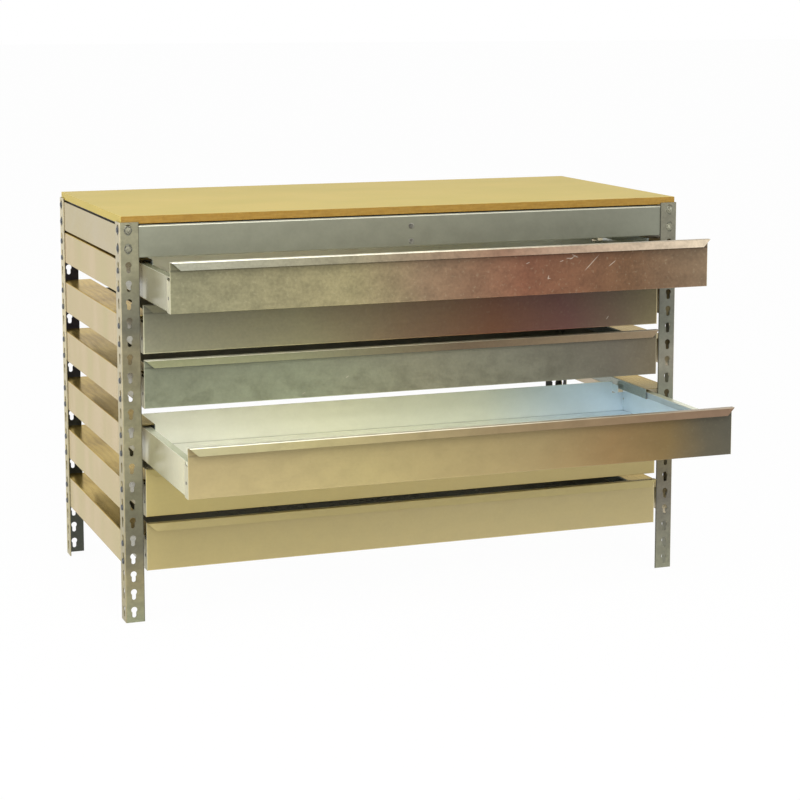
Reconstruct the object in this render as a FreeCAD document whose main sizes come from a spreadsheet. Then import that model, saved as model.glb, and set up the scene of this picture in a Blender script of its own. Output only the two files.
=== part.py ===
import FreeCAD, Part
import os
import re
import Sketcher

# Workbench of keyhole angle posts with a board top and six sheet-metal drawers.
# The frame's front is towards -Y, Z is up and the floor is at zero. Each piece is drawn as if
# the posts' front faces were at Y zero and each drawer were closed in the top place.
# Placements then move the pieces, so that the origin is under the middle of the whole part.

doc = FreeCAD.newDocument("workbench")
sheet = doc.addObject("Spreadsheet::Sheet", "sizes")

SIZES = [
    ("bench_width", 1270, "outside of the posts, side to side"),
    ("bench_depth", 610, "outside of the posts, front to back"),
    ("hole_pitch", 38.1, "keyhole to keyhole, up a post"),
    ("hole_count", 22, "keyholes in one flange, and pitches in a post's height"),
    ("post_flange", 40, "width of an angle post's flange"),
    ("post_sheet", 2, "thickness of a post"),
    ("post_bend", 3, "outer radius of a post's corner"),
    ("hole_top", 16.4, "post's top down to the first keyhole's centre"),
    ("hole_inset", 17.5, "post's corner to the middle of the keyholes"),
    ("hole_round", 13, "diameter of a keyhole's round part"),
    ("hole_slot", 8.5, "width of a keyhole's slot"),
    ("hole_height", 23, "whole height of a keyhole"),
    ("board_thick", 16, "thickness of the worktop board"),
    ("board_inset", 3.5, "board's edge behind the posts' outside"),
    ("board_chamfer", 0.6, "broken edge of the board"),
    ("beam_sheet", 1.5, "thickness of the top beams"),
    ("beam_over", 16, "beam's web above its upper rivet"),
    ("beam_under", 12, "beam's web below its lower rivet"),
    ("beam_step_in", 6, "step behind the web's top edge"),
    ("beam_step_up", 4, "height of that step, which shows as a dark line under the board"),
    ("beam_ledge", 25, "ledge that the board lies on"),
    ("beam_foot", 15, "beam's lower flange"),
    ("beam_bend", 2.4, "outer radius of its folds"),
    ("beam_end_gap", 0.5, "gap between two beams in a corner"),
    ("tie_width", 40, "width of the centre tie bar"),
    ("tie_depth", 38, "height of its side webs"),
    ("tie_sheet", 1.5, "thickness of the tie bar"),
    ("tie_gap", 0.4, "gap between the tie bar and the beams' ledges and folds"),
    ("tie_rivet_pitch", 33.2, "the two rivets at each end of the tie bar"),
    ("tie_rivet_drop", 26, "board's underside down to the upper tie rivet"),
    ("rail_sheet", 1.2, "thickness of a drawer rail"),
    ("rail_over", 21.5, "rail's web above its upper rivet"),
    ("rail_under", 9, "rail's web below its lower rivet"),
    ("rail_shelf", 67, "rail's width, from the post inwards"),
    ("rail_lip", 23.2, "height of the lip that hangs inside the drawer"),
    ("rail_ledge", 12, "ledge at the lip's foot that carries the drawer"),
    ("rail_end_gap", 3.5, "rail's end behind the posts' front"),
    ("rail_bend", 1.8, "outer radius of a rail's folds"),
    ("drawer_count", 6, "drawers, one above the other"),
    ("drawer_holes", 3, "keyholes from one drawer to the next"),
    ("first_rail_hole", 2, "keyholes above the top rail's upper rivet"),
    ("drawer_gap", 11.5, "gap between two closed fronts"),
    ("drawer_side_gap", 6, "gap between a front and the posts"),
    ("drawer_sheet", 1, "thickness of the drawers' sheet"),
    ("drawer_bend", 2, "outer radius of a drawer's folds"),
    ("tray_hang", 8, "rail's shelf down to the drawer's top edge"),
    ("tray_length", 505, "front panel to the rear of the back wall"),
    ("slide_gap", 0.3, "drawer's lip above the ledge that carries it"),
    ("lip_gap", 3, "drawer's lip beside the rail's lip"),
    ("face_rise", 30.5, "front panel above the drawer's top edge"),
    ("face_fold", 24, "front panel's folds round the sides and floor"),
    ("face_notch", 8, "side folds' top below the drawer's top edge"),
    ("relief_high", 6, "height of the relief hole above each side fold"),
    ("relief_share", 0.8, "share of the fold's width that the hole takes"),
    ("hood_out", 13, "finger hood's top edge before the face"),
    ("hood_reach", 17, "finger hood's free edge before the face"),
    ("hood_drop", 16, "height of the finger hood"),
    ("hood_mitre", 18, "hood's free edge drawn in at each end"),
    ("notch_wide", 29, "rear notch that lets the rail's lip pass"),
    ("notch_deep", 27, "depth of that notch"),
    ("tab_long", 32, "guide tab beside the rear notch"),
    ("tab_high", 18, "height of the guide tab"),
    ("tab_top", 5, "guide tab below the drawer's top edge"),
    ("tab_hole", 4, "hole in the guide tab"),
    ("tab_hole_in", 6, "tab's front end to that hole's centre"),
    ("back_fold", 12, "back wall's folds along the sides"),
    ("bolt_head", 17, "diameter of a beam bolt's washer face, which covers most of a keyhole"),
    ("bolt_washer", 1.1, "thickness of that washer face"),
    ("bolt_button", 10, "diameter of the button on it"),
    ("bolt_button_high", 1.5, "height of the button"),
    ("bolt_neck", 7.6, "diameter of the bolt's shank"),
    ("bolt_tail", 12, "diameter of its nut"),
    ("bolt_tail_high", 5, "height of its nut"),
    ("rivet_head", 12.5, "diameter of a frame rivet's head"),
    ("rivet_dome", 2.6, "height of that head"),
    ("rivet_neck", 7.6, "diameter of its neck"),
    ("tie_dome", 1.5, "height of a tie rivet's flat head, behind the closed top drawer"),
    ("rivet_tail", 10.5, "diameter of its riveted tail"),
    ("rivet_tail_high", 1.4, "height of that tail"),
    ("rivet_gap", 0.15, "neck's clearance in a sheet hole, all round"),
    ("pin_head", 6.5, "diameter of a drawer rivet's head"),
    ("pin_dome", 1.1, "height of that head"),
    ("pin_neck", 3.2, "diameter of its neck"),
    ("pin_tail", 5, "diameter of its riveted tail"),
    ("pin_tail_high", 0.8, "height of that tail"),
    ("pin_drop", 42, "drawer's top edge down to its rivets"),
    ("open_1", 228, "how far the top drawer stands open"),
    ("open_4", 346, "how far the fourth drawer stands open"),
    ("cut_over", 5, "overrun of a cut past its piece"),
    ("dome_share", 0.9, "share of a rivet head's height that its rounded edge takes"),
]
for row, (alias, value, note) in enumerate(SIZES, start=1):
    sheet.set(f"A{row}", note)
    sheet.set(f"B{row}", str(value))
    sheet.setAlias(f"B{row}", alias)
doc.recompute()

DECIMALS = 5
ALIASES = {alias for alias, value, note in SIZES}
PIECES = []


def bound(text):
    """The expression with each size's name led by the sheet's."""
    return re.sub(r"[a-z]\w*", lambda m: "sizes." + m[0] if m[0] in ALIASES else m[0], text)


def number(text):
    return float(sheet.evalExpression(bound(text)))


# Heights and places that several pieces share, as expressions on the sheet
POST_HEIGHT = "(hole_pitch * hole_count)"
HALF_WIDTH = "(bench_width / 2)"
SLOT_DROP = "((hole_height - hole_slot) / 2)"
SLOT_TOP = f"({POST_HEIGHT} - hole_top - {SLOT_DROP})"
BEAM_TOP = f"({SLOT_TOP} + beam_over)"
BEAM_FOOT = f"({SLOT_TOP} - hole_pitch - beam_under)"
BOARD_FOOT = f"({BEAM_TOP} + beam_step_up)"
RAIL_RIVET = f"({SLOT_TOP} - first_rail_hole * hole_pitch)"
RAIL_TOP = f"({RAIL_RIVET} + rail_over)"
RAIL_FOOT = f"({RAIL_RIVET} - hole_pitch - rail_under)"
RAIL_OUT = f"({HALF_WIDTH} - post_sheet)"
RAIL_IN = f"({RAIL_OUT} - rail_shelf)"
LIP_FOOT = f"({RAIL_TOP} - rail_lip)"
DRAWER_PITCH = "(drawer_holes * hole_pitch)"
FACE_HIGH = f"({DRAWER_PITCH} - drawer_gap)"
TRAY_TOP = f"({RAIL_TOP} - tray_hang)"
FACE_TOP = f"({TRAY_TOP} + face_rise)"
FACE_FOOT = f"({FACE_TOP} - {FACE_HIGH})"
FACE_OUT = f"({HALF_WIDTH} - post_flange - drawer_side_gap)"
TRAY_OUT = f"({FACE_OUT} - drawer_sheet)"
TRAY_LIP = f"({RAIL_IN} + rail_sheet + lip_gap)"
TRAY_FOOT = f"({FACE_FOOT} + drawer_sheet)"
FRONT_REACH = "(open_4 + drawer_sheet + hood_reach)"
BOLT_HIGH = "(bolt_washer + bolt_button_high)"
FRAME_FRONT = f"(({FRONT_REACH} - bench_depth - {BOLT_HIGH}) / 2)"


def add(body, kind, name):
    return body.newObject(kind, f"{body.Name}_{name}")


def new_body(label):
    body = doc.addObject("PartDesign::Body", label)
    body.Label = label
    PIECES.append(body)
    return body


def origin(body, role):
    return next(part for part in body.Origin.OriginFeatures if part.Role == role)


def place(piece, x="0", y="0", z="0", turn=0):
    """Puts a finished piece in the bench, turned about Z by whole quarters."""
    piece.Placement = FreeCAD.Placement(
        FreeCAD.Vector(0, 0, 0), FreeCAD.Rotation(FreeCAD.Vector(0, 0, 1), turn)
    )
    for axis, text in (("x", x), ("y", f"{FRAME_FRONT} + {y}"), ("z", z)):
        piece.setExpression(f"Placement.Base.{axis}", bound(text))


def new_sketch(body, name, plane):
    sketch = add(body, "Sketcher::SketchObject", name)
    sketch.AttachmentSupport = [(origin(body, plane), "")]
    sketch.MapMode = "FlatFace"
    return sketch


def hold(sketch, kind, where, text):
    """Adds a constraint whose value is an expression."""
    index = sketch.addConstraint(Sketcher.Constraint(kind, *where, number(text)))
    sketch.setExpression(f"Constraints[{index}]", bound(text))


def hold_point(sketch, line, end, across, up):
    hold(sketch, "DistanceX", (-1, 1, line, end), across)
    hold(sketch, "DistanceY", (-1, 1, line, end), up)


def draw_outline(sketch, corners):
    """A closed outline of straight lines, each corner held by two expressions."""
    points = [FreeCAD.Vector(number(across), number(up), 0) for across, up in corners]
    first = sketch.GeometryCount
    for start, end in zip(points, points[1:] + points[:1]):
        sketch.addGeometry(Part.LineSegment(start, end), False)
    for step, (across, up) in enumerate(corners):
        line = first + step
        following = first + (step + 1) % len(corners)
        sketch.addConstraint(Sketcher.Constraint("Coincident", line, 2, following, 1))
        hold_point(sketch, line, 1, across, up)


def draw_circle(sketch, across, up, radius):
    centre = FreeCAD.Vector(number(across), number(up), 0)
    circle = Part.Circle(centre, FreeCAD.Vector(0, 0, 1), number(radius))
    index = sketch.addGeometry(circle, False)
    hold_point(sketch, index, 3, across, up)
    hold(sketch, "Radius", (index,), radius)


def pad(body, sketch, name, length, away=False, both=False):
    feature = add(body, "PartDesign::Pad", name)
    feature.Profile = sketch
    feature.Reversed = away
    if both:
        feature.SideType = "Symmetric"
    feature.Length = number(length)
    feature.setExpression("Length", bound(length))
    return feature


def cut_through(body, sketch, name, both=True):
    """A pocket through the whole piece, both ways from its sketch or only along its normal."""
    before = body.Shape.Volume
    feature = add(body, "PartDesign::Pocket", name)
    feature.Profile = sketch
    if both:
        feature.SideType = "Symmetric"
    feature.Reversed = not both
    feature.Type = "ThroughAll"
    doc.recompute()
    assert body.Shape.Volume < before, feature.Label
    return feature


def plate(body, name, low, high, kind="Additive"):
    """A flat sheet or a square cut between two corners, each given by expressions."""
    feature = add(body, f"PartDesign::{kind}Box", name)
    sides = zip(("Length", "Width", "Height"), "xyz", low, high)
    for side, axis, start, end in sides:
        feature.setExpression(side, bound(f"({end}) - ({start})"))
        feature.setExpression(f"Placement.Base.{axis}", bound(start))
    return feature


def cross_hole(body, name, radius, x, y, z, length):
    """A round hole along X, from x onwards."""
    feature = add(body, "PartDesign::SubtractiveCylinder", name)
    feature.Placement = FreeCAD.Placement(
        FreeCAD.Vector(0, 0, 0), FreeCAD.Rotation(FreeCAD.Vector(0, 1, 0), 90)
    )
    feature.setExpression("Radius", bound(radius))
    feature.setExpression("Height", bound(length))
    for axis, text in zip("xyz", (x, y, z)):
        feature.setExpression(f"Placement.Base.{axis}", bound(text))
    return feature


def dress(body, kind, name, size, fits):
    """A fillet or a chamfer on the edges whose end points pass a test."""
    doc.recompute()
    base = body.Tip
    names = []
    for index, edge in enumerate(base.Shape.Edges, start=1):
        if fits([vertex.Point for vertex in edge.Vertexes]):
            names.append(f"Edge{index}")
    assert names, f"{body.Label} {name}"
    feature = add(body, f"PartDesign::{kind}", name)
    feature.Base = (base, names)
    feature.setExpression({"Fillet": "Radius", "Chamfer": "Size"}[kind], bound(size))
    return feature


def near(value, wanted):
    return round(value - wanted, DECIMALS) == 0


def round_folds(body, name, radius, corners, along):
    """Rounds the edges that run along one axis through the given corners."""
    wanted = [[number(text) for text in corner] for corner in corners]
    axes = [axis for axis in (0, 1, 2) if "xyz"[axis] != along]

    def at_corner(points, corner):
        return all(near(point[axis], value) for point in points for axis, value in zip(axes, corner))

    def fits(points):
        return any(at_corner(points, corner) for corner in wanted)

    return dress(body, "Fillet", name, radius, fits)


def mirrored(corners):
    """An outline's right half, followed by the same half on the left."""
    return corners + [(f"-({across})", up) for across, up in reversed(corners)]


# Worktop: one board, laid inside the tops of the posts
def make_board():
    body = new_body("worktop_board")
    across = f"{HALF_WIDTH} - board_inset"
    back = "bench_depth - board_inset"
    sketch = new_sketch(body, "outline", "XY_Plane")
    draw_outline(sketch, mirrored([(across, "board_inset"), (across, back)]))
    pad(body, sketch, "thickness", "board_thick")
    level = number("board_thick")

    def on_top(points):
        return all(near(point.z, level) for point in points)

    dress(body, "Chamfer", "top_edges", "board_chamfer", on_top)
    place(body, z=BOARD_FOOT)


# Angle post: a folded strip with a column of keyholes in each flange
def draw_keyhole(sketch, across):
    """A round hole over a slot, at the lowest place on the post."""
    centre = f"{POST_HEIGHT} - hole_top - (hole_count - 1) * hole_pitch"
    round_up = f"{centre} + (hole_height - hole_round) / 2"
    slot_up = f"{centre} - {SLOT_DROP}"
    half_slot = number("hole_slot / 2")
    radius = number("hole_round / 2")
    reach = (radius**2 - half_slot**2) ** 0.5
    middle = number(across)
    top = number(round_up)
    foot = number(slot_up)
    head = Part.Circle(FreeCAD.Vector(middle, top, 0), FreeCAD.Vector(0, 0, 1), radius)
    tail = Part.Circle(FreeCAD.Vector(middle, foot, 0), FreeCAD.Vector(0, 0, 1), half_slot)
    left = FreeCAD.Vector(middle - half_slot, top - reach, 0)
    right = FreeCAD.Vector(middle + half_slot, top - reach, 0)
    low_left = FreeCAD.Vector(middle - half_slot, foot, 0)
    low_right = FreeCAD.Vector(middle + half_slot, foot, 0)
    sketch.addGeometry(Part.ArcOfCircle(head, head.parameter(right), head.parameter(left)), False)
    sketch.addGeometry(Part.LineSegment(left, low_left), False)
    turn = tail.parameter(low_left)
    sketch.addGeometry(Part.ArcOfCircle(tail, turn, 2 * turn), False)
    sketch.addGeometry(Part.LineSegment(low_right, right), False)
    for one, end, other, start in ((0, 2, 1, 1), (1, 2, 2, 1), (2, 2, 3, 1), (3, 2, 0, 1)):
        sketch.addConstraint(Sketcher.Constraint("Coincident", one, end, other, start))
    hold_point(sketch, 0, 3, across, round_up)
    hold(sketch, "Radius", (0,), "hole_round / 2")
    hold_point(sketch, 2, 3, across, slot_up)
    hold(sketch, "Radius", (2,), "hole_slot / 2")
    for line in (1, 3):
        sketch.addConstraint(Sketcher.Constraint("Vertical", line))
    hold(sketch, "DistanceY", (-1, 1, 1, 2), slot_up)
    hold(sketch, "DistanceY", (-1, 1, 3, 1), slot_up)


def make_post(label, turn, x, y):
    body = new_body(label)
    sketch = new_sketch(body, "section", "XY_Plane")
    angle = [
        ("0", "0"),
        ("post_flange", "0"),
        ("post_flange", "post_sheet"),
        ("post_sheet", "post_sheet"),
        ("post_sheet", "post_flange"),
        ("0", "post_flange"),
    ]
    draw_outline(sketch, angle)
    pad(body, sketch, "height", POST_HEIGHT)
    round_folds(body, "corner", "post_bend", [("0", "0")], "z")
    round_folds(body, "throat", "post_bend - post_sheet", [("post_sheet", "post_sheet")], "z")
    doc.recompute()
    holes = []
    for flange, plane in (("front", "XZ_Plane"), ("side", "YZ_Plane")):
        keyhole = new_sketch(body, f"{flange}_keyhole", plane)
        draw_keyhole(keyhole, "hole_inset")
        holes.append(cut_through(body, keyhole, f"{flange}_hole"))
    before = body.Shape.Volume
    column = add(body, "PartDesign::LinearPattern", "column")
    column.Originals = holes
    column.Direction = (origin(body, "Z_Axis"), [""])
    column.setExpression("Length", bound("(hole_count - 1) * hole_pitch"))
    column.setExpression("Occurrences", bound("hole_count"))
    body.Tip = column
    doc.recompute()
    assert body.Shape.Volume < before, label
    place(body, x, y, turn=turn)


BEAM_SET_BACK = "(post_sheet + beam_sheet + beam_end_gap)"
BOLT_TOP = f"({POST_HEIGHT} - hole_top)"
BEAM_BOLTS = (BOLT_TOP, f"({BOLT_TOP} - hole_pitch)")
TIE_UPPER = f"({BOARD_FOOT} - tie_rivet_drop)"
TIE_RIVETS = (TIE_UPPER, f"({TIE_UPPER} - tie_rivet_pitch)")


# Top beam: a folded strip with a web, a stepped ledge for the board and a short lower flange
def make_beam(label, turn, x, y, length, middle_holes):
    """Drawn along X with its web's outer face at Y zero, centred on X zero."""
    body = new_body(label)
    end = f"({length} / 2)"
    ledge_in = "beam_step_in + beam_ledge"
    section = [
        ("0", BEAM_FOOT),
        ("0", BEAM_TOP),
        ("beam_step_in", BEAM_TOP),
        ("beam_step_in", BOARD_FOOT),
        (ledge_in, BOARD_FOOT),
        (ledge_in, f"{BOARD_FOOT} - beam_sheet"),
        ("beam_step_in + beam_sheet", f"{BOARD_FOOT} - beam_sheet"),
        ("beam_step_in + beam_sheet", f"{BEAM_TOP} - beam_sheet"),
        ("beam_sheet", f"{BEAM_TOP} - beam_sheet"),
        ("beam_sheet", f"{BEAM_FOOT} + beam_sheet"),
        ("beam_foot", f"{BEAM_FOOT} + beam_sheet"),
        ("beam_foot", BEAM_FOOT),
    ]
    sketch = new_sketch(body, "section", "YZ_Plane")
    draw_outline(sketch, section)
    pad(body, sketch, "length", length, both=True)
    folds = [section[index] for index in (0, 1, 3, 7)]
    throats = [section[index] for index in (2, 6, 8, 9)]
    round_folds(body, "folds", "beam_bend", folds, "x")
    round_folds(body, "throats", "beam_bend - beam_sheet", throats, "x")
    for side, low, high in (
        ("left", f"-{end} - cut_over", f"-{end} + post_flange"),
        ("right", f"{end} - post_flange", f"{end} + cut_over"),
    ):
        corner_low = (low, "beam_sheet", f"{BEAM_FOOT} - cut_over")
        corner_high = (high, f"{ledge_in} + cut_over", f"{BOARD_FOOT} + cut_over")
        plate(body, f"{side}_cope", corner_low, corner_high, "Subtractive")
    holes = new_sketch(body, "bolt_holes", "XZ_Plane")
    bolt_in = f"({length} / 2 + {BEAM_SET_BACK} - hole_inset)"
    for across in (f"-{bolt_in}", bolt_in):
        for up in BEAM_BOLTS:
            draw_circle(holes, across, up, "bolt_neck / 2 + rivet_gap")
    if middle_holes:
        for up in TIE_RIVETS:
            draw_circle(holes, "0", up, "rivet_neck / 2 + rivet_gap")
    doc.recompute()
    cut_through(body, holes, "holes")
    place(body, x, y, turn=turn)


# Centre tie bar: an upside-down channel from beam to beam, with a riveted tab at each end
def make_tie():
    body = new_body("centre_tie_bar")
    half = "(tie_width / 2)"
    front = "(post_sheet + beam_sheet)"
    back = f"(bench_depth - {front})"
    clear = "(post_sheet + beam_step_in + beam_ledge + tie_gap)"
    shoulder = f"({BEAM_TOP} - beam_bend - tie_gap)"
    foot = f"({BOARD_FOOT} - tie_depth)"
    tab_foot = f"({BEAM_FOOT} + beam_bend + tie_gap)"
    plate(
        body,
        "top",
        (f"-{half}", clear, f"{BOARD_FOOT} - tie_sheet"),
        (half, f"bench_depth - {clear}", BOARD_FOOT),
    )
    for side, low, high in (
        ("left", f"-{half}", f"-{half} + tie_sheet"),
        ("right", f"{half} - tie_sheet", half),
    ):
        plate(body, f"{side}_web", (low, front, foot), (high, back, shoulder))
        plate(body, f"{side}_rise", (low, clear, foot), (high, f"bench_depth - {clear}", BOARD_FOOT))
    plate(body, "front_tab", (f"-{half}", front, tab_foot), (half, f"{front} + tie_sheet", shoulder))
    plate(body, "back_tab", (f"-{half}", f"{back} - tie_sheet", tab_foot), (half, back, shoulder))
    holes = new_sketch(body, "rivet_holes", "XZ_Plane")
    for up in TIE_RIVETS:
        draw_circle(holes, "0", up, "rivet_neck / 2 + rivet_gap")
    doc.recompute()
    cut_through(body, holes, "holes")
    place(body)


# Drawer rail: a folded strip that hooks over the drawer's edge and carries it on a small ledge
def make_rail(number_down, side):
    body = new_body(f"drawer_rail_{side}_{number_down}")
    sign = {"left": "-", "right": ""}[side]
    inner_lip = f"{RAIL_IN} + rail_sheet"
    section = [
        (RAIL_OUT, RAIL_FOOT),
        (RAIL_OUT, RAIL_TOP),
        (RAIL_IN, RAIL_TOP),
        (RAIL_IN, LIP_FOOT),
        (f"{inner_lip} + rail_ledge", LIP_FOOT),
        (f"{inner_lip} + rail_ledge", f"{LIP_FOOT} + rail_sheet"),
        (inner_lip, f"{LIP_FOOT} + rail_sheet"),
        (inner_lip, f"{RAIL_TOP} - rail_sheet"),
        (f"{RAIL_OUT} - rail_sheet", f"{RAIL_TOP} - rail_sheet"),
        (f"{RAIL_OUT} - rail_sheet", RAIL_FOOT),
    ]
    section = [(f"{sign}({across})", up) for across, up in section]
    sketch = new_sketch(body, "section", "XZ_Plane")
    draw_outline(sketch, section)
    pad(body, sketch, "length", "bench_depth - 2 * rail_end_gap", away=True)
    round_folds(body, "folds", "rail_bend", section[1:4], "y")
    round_folds(body, "throats", "rail_bend - rail_sheet", section[6:9], "y")
    holes = new_sketch(body, "rivet_holes", "YZ_Plane")
    for along in ("hole_inset - rail_end_gap", "bench_depth - hole_inset - rail_end_gap"):
        for up in (RAIL_RIVET, f"{RAIL_RIVET} - hole_pitch"):
            draw_circle(holes, along, up, "rivet_neck / 2 + rivet_gap")
    doc.recompute()
    cut_through(body, holes, "holes")
    place(body, y="rail_end_gap", z=f"-{number_down - 1} * {DRAWER_PITCH}")


# Drawer tray: one folded sheet, floor and both sides, each side hooked inwards at its top
def place_drawer(piece, number_down):
    opened = {1: "open_1", 4: "open_4"}.get(number_down, "0")
    place(piece, y=f"(0 - {opened})", z=f"-{number_down - 1} * {DRAWER_PITCH}")


DRAWER_RIVETS = ("face_fold / 2", "tray_length - back_fold / 2")
PIN_HEIGHT = f"({TRAY_TOP} - pin_drop)"


def make_tray(number_down):
    body = new_body(f"drawer_tray_{number_down}")
    lip_foot = f"{LIP_FOOT} + rail_sheet + slide_gap"
    half_section = [
        (TRAY_OUT, TRAY_FOOT),
        (TRAY_OUT, TRAY_TOP),
        (TRAY_LIP, TRAY_TOP),
        (TRAY_LIP, lip_foot),
        (f"{TRAY_LIP} + drawer_sheet", lip_foot),
        (f"{TRAY_LIP} + drawer_sheet", f"{TRAY_TOP} - drawer_sheet"),
        (f"{TRAY_OUT} - drawer_sheet", f"{TRAY_TOP} - drawer_sheet"),
        (f"{TRAY_OUT} - drawer_sheet", f"{TRAY_FOOT} + drawer_sheet"),
    ]
    section = mirrored(half_section)
    sketch = new_sketch(body, "section", "XZ_Plane")
    draw_outline(sketch, section)
    pad(body, sketch, "length", "tray_length", away=True)
    outer = section[0:3] + section[13:16]
    inner = section[5:8] + section[8:11]
    round_folds(body, "folds", "drawer_bend", outer, "y")
    round_folds(body, "throats", "drawer_bend - drawer_sheet", inner, "y")
    throat = "(drawer_bend - drawer_sheet)"
    trim_low = (f"-{TRAY_OUT} - cut_over", "-cut_over", f"{TRAY_FOOT} - cut_over")
    trim_high = (f"{TRAY_OUT} + cut_over", throat, f"{TRAY_FOOT} + {throat}")
    plate(body, "floor_trim", trim_low, trim_high, "Subtractive")
    relief_in = "face_fold * (1 - relief_share)"
    relief_foot = f"{TRAY_TOP} - face_notch"
    for side, low, high in (
        ("left", f"-{TRAY_OUT} - cut_over", f"-{TRAY_OUT} + 2 * drawer_sheet"),
        ("right", f"{TRAY_OUT} - 2 * drawer_sheet", f"{TRAY_OUT} + cut_over"),
    ):
        hole_low = (low, relief_in, relief_foot)
        hole_high = (high, "face_fold", f"{relief_foot} + relief_high")
        plate(body, f"{side}_relief", hole_low, hole_high, "Subtractive")
    holes = new_sketch(body, "rivet_holes", "YZ_Plane")
    for along in DRAWER_RIVETS:
        draw_circle(holes, along, PIN_HEIGHT, "pin_neck / 2 + rivet_gap")
    doc.recompute()
    cut_through(body, holes, "holes")
    place_drawer(body, number_down)


# Drawer front: one folded sheet with a slanted finger hood along its top edge
def make_front(number_down):
    body = new_body(f"drawer_front_{number_down}")
    slant = "atan(hood_drop / (hood_reach - hood_out))"
    knee = f"-(drawer_sheet + hood_out) + drawer_sheet * tan({slant} / 2)"
    edge = "-(drawer_sheet + hood_reach)"
    section = [
        ("face_fold", FACE_FOOT),
        ("-drawer_sheet", FACE_FOOT),
        ("-drawer_sheet", f"{FACE_TOP} - drawer_sheet"),
        (knee, f"{FACE_TOP} - drawer_sheet"),
        (
            f"{edge} + drawer_sheet * sin({slant})",
            f"{FACE_TOP} - hood_drop - drawer_sheet * cos({slant})",
        ),
        (edge, f"{FACE_TOP} - hood_drop"),
        ("-(drawer_sheet + hood_out)", FACE_TOP),
        ("0", FACE_TOP),
        ("0", f"{FACE_FOOT} + drawer_sheet"),
        ("face_fold", f"{FACE_FOOT} + drawer_sheet"),
    ]
    sketch = new_sketch(body, "section", "YZ_Plane")
    draw_outline(sketch, section)
    pad(body, sketch, "width", f"2 * {FACE_OUT}", both=True)
    round_folds(body, "folds", "drawer_bend", [section[1], section[6], section[7]], "x")
    round_folds(body, "throats", "drawer_bend - drawer_sheet", [section[2], section[8]], "x")
    mitres = new_sketch(body, "mitres", "XZ_Plane")
    mitres.setExpression("AttachmentOffset.Base.z", bound("drawer_sheet + hood_out - drawer_bend"))
    outside = f"{FACE_OUT} + cut_over"
    under_hood = f"{FACE_TOP} - hood_drop - drawer_sheet"
    for sign in ("", "-"):
        cut = [
            (FACE_OUT, FACE_TOP),
            (f"{FACE_OUT} - hood_mitre", f"{FACE_TOP} - hood_drop"),
            (f"{FACE_OUT} - hood_mitre", under_hood),
            (outside, under_hood),
            (outside, FACE_TOP),
        ]
        draw_outline(mitres, [(f"{sign}({across})", up) for across, up in cut])
    doc.recompute()
    cut_through(body, mitres, "mitre_cuts", both=False)
    for side, low, high in (
        ("left", f"-{FACE_OUT}", f"-{TRAY_OUT}"),
        ("right", TRAY_OUT, FACE_OUT),
    ):
        fold_low = (low, "-drawer_sheet / 2", FACE_FOOT)
        fold_high = (high, "face_fold", f"{TRAY_TOP} - face_notch")
        plate(body, f"{side}_fold", fold_low, fold_high)
    length = f"2 * {FACE_OUT} + 2 * cut_over"
    radius = "pin_neck / 2 + rivet_gap"
    start = f"-{FACE_OUT} - cut_over"
    cross_hole(body, "rivet_holes", radius, start, DRAWER_RIVETS[0], PIN_HEIGHT, length)
    place_drawer(body, number_down)


# Drawer back: a flat wall folded along the sides, notched for the rails, with two guide tabs
def make_back(number_down):
    body = new_body(f"drawer_back_{number_down}")
    inside = f"({TRAY_OUT} - drawer_sheet)"
    floor = f"({TRAY_FOOT} + drawer_sheet)"
    rear = "tray_length"
    front = "tray_length - drawer_sheet"
    notch_in = f"({TRAY_OUT} - notch_wide)"
    notch_foot = f"({TRAY_TOP} - notch_deep)"
    plate(body, "wall", (f"-{inside}", front, floor), (inside, rear, TRAY_TOP))
    over = f"{TRAY_TOP} + cut_over"
    behind = f"{rear} + cut_over"
    for side, low, high in (
        ("left", f"-{inside} - cut_over", f"-{notch_in}"),
        ("right", notch_in, f"{inside} + cut_over"),
    ):
        plate(body, f"{side}_notch", (low, front, notch_foot), (high, behind, over), "Subtractive")
    fold_front = "tray_length - back_fold"
    for side, low, high in (
        ("left", f"-{inside}", f"-{inside} + drawer_sheet"),
        ("right", f"{inside} - drawer_sheet", inside),
    ):
        plate(body, f"{side}_fold", (low, fold_front, floor), (high, rear, notch_foot))
    throat = "(drawer_bend - drawer_sheet)"
    before = f"{fold_front} - cut_over"
    beneath = f"{floor} - cut_over"
    for side, low, high in (
        ("left", f"-{inside} - cut_over", f"-{inside} + {throat}"),
        ("right", f"{inside} - {throat}", f"{inside} + cut_over"),
    ):
        corner_high = (high, behind, f"{floor} + {throat}")
        plate(body, f"{side}_corner", (low, before, beneath), corner_high, "Subtractive")
    tab_front = "tray_length - tab_long"
    tab_high = f"{TRAY_TOP} - tab_top"
    tab_foot = f"{TRAY_TOP} - tab_top - tab_high"
    for side, low, high in (
        ("left", f"-{notch_in}", f"-{notch_in} + drawer_sheet"),
        ("right", f"{notch_in} - drawer_sheet", notch_in),
    ):
        plate(body, f"{side}_tab", (low, tab_front, tab_foot), (high, rear, tab_high))
    hole_up = f"{TRAY_TOP} - tab_top - tab_high / 2"
    start = f"-{FACE_OUT}"
    length = f"2 * {FACE_OUT}"
    cross_hole(body, "tab_holes", "tab_hole / 2", start, f"{tab_front} + tab_hole_in", hole_up, length)
    pin_hole = "pin_neck / 2 + rivet_gap"
    cross_hole(body, "rivet_holes", pin_hole, start, DRAWER_RIVETS[1], PIN_HEIGHT, length)
    place_drawer(body, number_down)


# Rivets: the heads lie on the outer sheet, the necks pass both sheets, the tails hold the inner one
def add_discs(body, name, plane, offset, places, radius, length, away):
    """Like discs side by side, from an offset along the plane's normal."""
    sketch = new_sketch(body, f"{name}_sketch", plane)
    sketch.setExpression("AttachmentOffset.Base.z", bound(offset))
    for across, up in places:
        draw_circle(sketch, across, up, radius)
    pad(body, sketch, name, length, away)


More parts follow.
